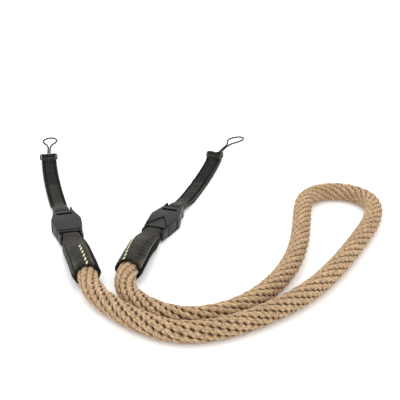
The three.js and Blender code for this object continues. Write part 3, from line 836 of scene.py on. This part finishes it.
for side_name in SIDES:
    along = np.linspace(0, CAP_LENGTH * SEAM_END[side_name], SEAM_STEPS)
    seam = seam_way(side_name, along)
    middle = cap_section(side_name, along, seam)
    ahead = unit(np.gradient(middle, axis=0))
    out = unit(np.cross(ahead, cap_section(side_name, along, seam + SMALL_ANGLE) - middle))
    out = out * np.sign(out[:, 2:3])
    aside = np.cross(out, ahead)
    laces, holes = new_bmesh(with_uv=False), new_bmesh(with_uv=False)
    for at in np.arange(LACE_START, along[-1], LACE_STEP):
        k = int(np.argmin(np.abs(along - at)))
        slanted = ahead[k] * math.cos(LACE_SLANT) - aside[k] * math.sin(LACE_SLANT)
        stitch(laces, middle[k] + out[k] * LACE_PROUD, slanted, out[k], LACE_SIZE[side_name])
        # Each hole is a flat black mark of painted shade on either side of the stitch
        for hand in (-1, 1):
            place = middle[k] + slanted * hand * HOLE_AHEAD - aside[k] * hand * HOLE_ASIDE
            stitch(holes, place + out[k] * HOLE_PROUD, ahead[k], out[k], HOLE_SIZE)
    finish_mesh(f"{side_name}_cap_lacing", laces, cream_thread, FINE_MERGE)
    finish_mesh(f"{side_name}_cap_hole_shades", holes, black_thread_and_hole_shade, FINE_MERGE)

# %% [markdown]
# ## Buckles
# The side-release buckles are moulded plastic, so the CAD shapes are right and could stay as they
# are. Their edges are sharp, though, and a real moulding has small radii that catch the light. So
# each CAD piece is copied, the copy's flat faces are joined, and its edges get a fine bevel.

# %% Buckles
BUCKLE_EDGE = 0.18 * MM
FLAT_ANGLE = math.radians(1)
SHARP_ANGLE = math.radians(30)


def moulded_copy(node, name):
    bm = bmesh.new()
    bm.from_mesh(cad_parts[node].data)
    bmesh.ops.remove_doubles(bm, verts=bm.verts, dist=MERGE)
    bmesh.ops.dissolve_limit(bm, angle_limit=FLAT_ANGLE, verts=bm.verts, edges=bm.edges)
    piece = finish_mesh(name, bm, plastic)
    bevel = piece.modifiers.new("moulded_edges", "BEVEL")
    bevel.width = BUCKLE_EDGE
    bevel.segments = 2
    bevel.limit_method = "ANGLE"
    bevel.angle_limit = SHARP_ANGLE
    bevel.harden_normals = True
    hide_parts(node)


for side_name in SIDES:
    for half in ("plug", "socket"):
        moulded_copy(f"{side_name}_buckle_{half}", f"{side_name}_moulded_{half}")

# %% [markdown]
# ## Tabs
# A tab is one strap of leather folded in two, round the socket's bar at one end and round the cord's
# eye at the other. Its far half is sewn along both edges with black thread. Two thin sheets could be
# laid on each other, but only their edges would show. So the tab is one skin after the CAD table,
# with a line between its two layers, pressed margins and slight ripples.

# %% Form of a tab
TAB_LENGTH = 85 * MM
TAB_WIDTH = 9 * MM
TAB_FOLD_WIDTH = 7.6 * MM
TAB_HALF = 1.4 * MM
TAB_SEWN = 0.06 * MM
TAB_FOLD = 2.95 * MM
EYE_FOLD = 2.85 * MM
TAB_BEND = 0.15
TAB_LINE_STEPS = 500
BUCKLE_BARS = 31.5 * MM
# Along the tab, each from 0 to 1: the fold round the bar, how slim it is cut for the buckle's slot,
# the fold round the eye, the thicker sewn part, and how far it lies at the bar's height
TAB_FORM = {
    "along": [0, 0.05, 0.1, 0.22, 0.36, 0.5, 0.52, 0.65, 0.78, 0.92, 0.97, 1],
    "fold": [1, 0.5, 0, 0, 0, 0, 0, 0, 0, 0, 0, 0],
    "slim": [1, 1, 0.9, 0, 0, 0, 0, 0, 0, 0, 0, 0],
    "eye": [0, 0, 0, 0, 0, 0, 0, 0, 0, 0, 0.5, 1],
    "sewn": [0, 0, 0, 0, 0, 0, 1, 1, 1, 1, 0, 0],
    "lift": [1, 1, 0.66, 0, 0, 0, 0, 0, 0, 0, 0, 0],
}
TAB_SQUARE = 6


def tab_section(side_name, along, angle):
    """Places on a tab's outside, as on a cap's, and the direction to its right."""
    side = SIDES[side_name]
    start = np.array([*side["bar"], 0.0]) + heading(side["buckle"]) * (BUCKLE_BARS - TAB_FOLD)
    line = bent_line(start[:2], side["buckle"], TAB_FOLD + TAB_BEND * TAB_LENGTH, side["tab"],
                     (1 - TAB_BEND) * TAB_LENGTH, EYE_FOLD, TAB_LINE_STEPS)
    place, right = places_on(line, along)
    share = np.clip((along - TAB_FOLD) / TAB_LENGTH, 0, 1)
    form = {key: np.interp(share, TAB_FORM["along"], TAB_FORM[key]) for key in TAB_FORM}
    thick = (TAB_HALF + form["sewn"] * TAB_SEWN + form["fold"] * (TAB_FOLD - TAB_HALF)
             + form["eye"] * (EYE_FOLD - TAB_HALF))
    height = thick + (BAR_HEIGHT - thick) * form["lift"]
    before = np.clip((TAB_FOLD - along) / TAB_FOLD, 0, 1)
    beyond = np.clip((along - TAB_FOLD - TAB_LENGTH) / EYE_FOLD, 0, 1)
    thick = thick * fold_end(np.maximum(before, beyond))
    wide = (TAB_WIDTH + (TAB_FOLD_WIDTH - TAB_WIDTH) * form["slim"]) / 2
    across = squared(np.cos(angle), TAB_SQUARE) * wide
    rise = squared(np.sin(angle), TAB_SQUARE) * thick
    return place + right * across[..., None] + UP * (height + rise)[..., None], right


# %% Grid of a tab
TAB_RINGS = 190
TAB_FOLD_ANGLES = np.radians([88, 78, 66, 52, 38, 24, 12])
# Degrees round a quarter of the section, closer together where a boxy section turns
TAB_CORNER = np.array([0, 4, 9, 15, 22, 30, 37, 43, 48, 53, 59, 66, 73, 80, 85])


def tab_grid():
    """Distances along a tab and angles round it, for every point of its skin."""
    reach = TAB_FOLD + TAB_LENGTH
    bend = np.sin(TAB_FOLD_ANGLES)
    stations = np.concatenate([TAB_FOLD - TAB_FOLD * bend, np.linspace(TAB_FOLD, reach, TAB_RINGS),
                               reach + EYE_FOLD * bend[::-1]])
    top = np.radians(np.concatenate([TAB_CORNER, [90], 180 - TAB_CORNER[::-1]]))
    return np.meshgrid(stations, np.concatenate([top, top[1:-1] + np.pi]), indexing="ij")


# %% Skin of a tab
# Shares of the tab's length: it lies flat from the first to the second, and is sewn from the third on
FLAT_START, FLAT_START_FADE = 0.13, 120
FLAT_END, FLAT_END_FADE = 0.945, 160
SEWN_START, SEWN_FADE = 0.51, 200
LAYER_WIDTH, LAYER_DEPTH, LAYER_REACH = 0.2 * MM, 0.3 * MM, 0.05
MARGIN, MARGIN_DEPTH = 1.45 * MM, 0.12 * MM
MARGIN_LINE_WIDTH, MARGIN_LINE_DEPTH = 0.22 * MM, 0.16 * MM
# Ripples, in radians a mm
RIPPLE_HEIGHT = 0.02 * MM
RIPPLE_ALONG, RIPPLE_ACROSS = 0.6, 0.5


def tab_skin(side_name):
    """The tab's outside with the line between its layers, its margins and ripples, and its tone."""
    along, around = tab_grid()
    skin, right = tab_section(side_name, along, around)
    centre = skin.mean(axis=1, keepdims=True)
    across = ((skin - centre) * right).sum(axis=2)
    rise = skin[..., 2] - centre[..., 2]
    share = (along - TAB_FOLD) / TAB_LENGTH
    flat = fades_out(share, FLAT_START, -FLAT_START_FADE) * fades_out(share, FLAT_END, FLAT_END_FADE)
    sewn = fades_out(share, SEWN_START, -SEWN_FADE)
    top = (rise > 0) * flat
    edge = TAB_WIDTH / 2 - np.abs(across)
    layers = groove(rise, LAYER_WIDTH) * (edge < LAYER_REACH * TAB_WIDTH)
    skin = skin - right * (np.sign(across) * layers * LAYER_DEPTH)[..., None]
    press = MARGIN_LINE_DEPTH * groove(edge - MARGIN, MARGIN_LINE_WIDTH) + MARGIN_DEPTH * (edge < MARGIN)
    ripple = RIPPLE_HEIGHT * np.sin(along / MM * RIPPLE_ALONG + across / MM * RIPPLE_ACROSS) * (1 + sewn)
    skin[..., 2] += top * (ripple - press)
    return skin, tab_tone(side_name, along, share, edge, rise, layers, sewn, top)


# %% Tone of a tab
TAB_TONE, SEWN_DARK = 0.44, 0.10
# Painted shade in the line between the two layers and in the groove inside each margin
LAYER_SHADE = 0.3
MARGIN_DARK = 0.17
MARGIN_LINE_SHADE, MARGIN_LINE_SHADE_WIDTH = 0.3, 0.3 * MM
# The cut edge is paler along its top, partly the leather's own raw colour and partly a painted
# highlight, from this far in from the side
RAW_EDGE = {"left": 0.12 * MM, "right": 0.3 * MM}
RAW_LIGHT, RAW_WIDTH, RAW_ABOVE = 0.34, 0.14 * MM, 0.5 * MM
# Painted highlights make it a little lighter between the stitches, at the eye's fold and where it
# leaves the buckle
STITCH_STEP = 2.3 * MM
STITCH_INSET = 0.8 * MM
STITCHED = (0.53, 0.93)
BETWEEN_HIGHLIGHT, BETWEEN_WIDTH = 0.16, 0.3 * MM
EYE_HIGHLIGHT, EYE_AT, EYE_WIDTH = 0.14, 0.972, 0.012
BEND_HIGHLIGHT, BEND_AT, BEND_WIDTH = 0.12, 0.1, 0.08


# The tab's tone, with its painted shade and painted highlights
def tab_tone(side_name, along, share, edge, rise, layers, sewn, top):
    margin = MARGIN_DARK * (edge < MARGIN)
    margin = margin + MARGIN_LINE_SHADE * groove(edge - MARGIN, MARGIN_LINE_SHADE_WIDTH)
    raw = groove(np.maximum(edge - RAW_EDGE[side_name], 0), RAW_WIDTH) * (rise > RAW_ABOVE)
    stitched = (along - TAB_FOLD - STITCHED[0] * TAB_LENGTH) / STITCH_STEP
    between = np.maximum(np.cos(2 * math.pi * stitched + math.pi), 0)
    between = between * groove(edge - STITCH_INSET, BETWEEN_WIDTH)
    tone = TAB_TONE - SEWN_DARK * sewn - top * margin + RAW_LIGHT * raw - LAYER_SHADE * layers
    tone += BETWEEN_HIGHLIGHT * between * sewn * top
    tone += EYE_HIGHLIGHT * groove(share - EYE_AT, EYE_WIDTH) + BEND_HIGHLIGHT * groove(share - BEND_AT, BEND_WIDTH)
    return np.clip(tone, 0, 1)


# %% Pieces of the tabs
for side_name in SIDES:
    skin, tone = tab_skin(side_name)
    bm = new_bmesh()
    layer = bm.verts.layers.float.new("tone")
    skin_grid(bm, skin, layer, tone)
    tab = finish_mesh(f"{side_name}_leather_tab", bm, leather)
    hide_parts(f"{side_name}_tab")

# %% Stitches of the tabs
STITCH_SIZE = (0.85 * MM, 0.26 * MM, 0.22 * MM)
STITCH_SUNK = 0.02 * MM

for side_name in SIDES:
    bm = new_bmesh(with_uv=False)
    first, last = (TAB_FOLD + share * TAB_LENGTH for share in STITCHED)
    for at in np.arange(first, last, STITCH_STEP):
        ends, right = tab_section(side_name, at + STITCH_SIZE[0] * np.array([-1, 1]), np.full(2, np.pi / 2))
        for hand in (1, -1):
            sewn = ends + right * hand * (TAB_WIDTH / 2 - STITCH_INSET) - UP * STITCH_SUNK
            stitch(bm, sewn.mean(axis=0), unit(sewn[1] - sewn[0]), UP, STITCH_SIZE)
    finish_mesh(f"{side_name}_tab_stitches", bm, black_thread_and_hole_shade, FINE_MERGE)

# %% [markdown]
# ## Table and light
# The strap lies on a white table in a bright room: one large soft box hangs almost overhead, a weaker
# one stands in front on the right, and white light comes from all round. That leaves only faint
# shadows close to the strap. More fill would thin them further, but would also flatten the strap. So
# the table itself gives a faint light.

# %% Table
TABLE_HALF = 4
TABLE_WHITE = (0.96, 0.96, 0.96, 1)
TABLE_GLOW = 0.15

bm = bmesh.new()
bmesh.ops.create_grid(bm, x_segments=1, y_segments=1, size=TABLE_HALF)
table_mesh = bpy.data.meshes.new("table")
bm.to_mesh(table_mesh)
bm.free()
table = bpy.data.objects.new("table", table_mesh)
bpy.context.scene.collection.objects.link(table)
white, _, _, shader = start_material(
    "white_table", 0.9, Specular_IOR_Level=0.1, Emission_Strength=TABLE_GLOW)
shader.inputs["Base Color"].default_value = TABLE_WHITE
shader.inputs["Emission Color"].default_value = (1, 1, 1, 1)
table_mesh.materials.append(white)

# %% Light
ROOM_LIGHT = 0.97


def soft_light(name, place, size, power):
    """A square soft box that faces the middle of the strap. Size is in metres, power in watts."""
    data = bpy.data.lights.new(name, "AREA")
    data.energy = power
    data.size = size
    lamp = bpy.data.objects.new(name, data)
    lamp.location = place
    aim = -np.array(place)
    flat = math.hypot(aim[0], aim[1])
    lamp.rotation_euler = (math.atan2(flat, -aim[2]), 0, math.atan2(aim[1], aim[0]) - math.pi / 2)
    bpy.context.scene.collection.objects.link(lamp)
    print(f"{name}: {power} W, {place[2]} m up")


soft_light("overhead_softbox", (-0.2, 0.3, 1.1), size=1.4, power=6.8)
soft_light("front_right_fill", (0.5, -0.7, 0.9), size=1.2, power=3)

world = bpy.data.worlds.new("studio")
world.use_nodes = True
world.node_tree.nodes["Background"].inputs["Color"].default_value = (1, 1, 1, 1)
world.node_tree.nodes["Background"].inputs["Strength"].default_value = ROOM_LIGHT
bpy.context.scene.world = world
bpy.context.scene.view_settings.view_transform = "Standard"
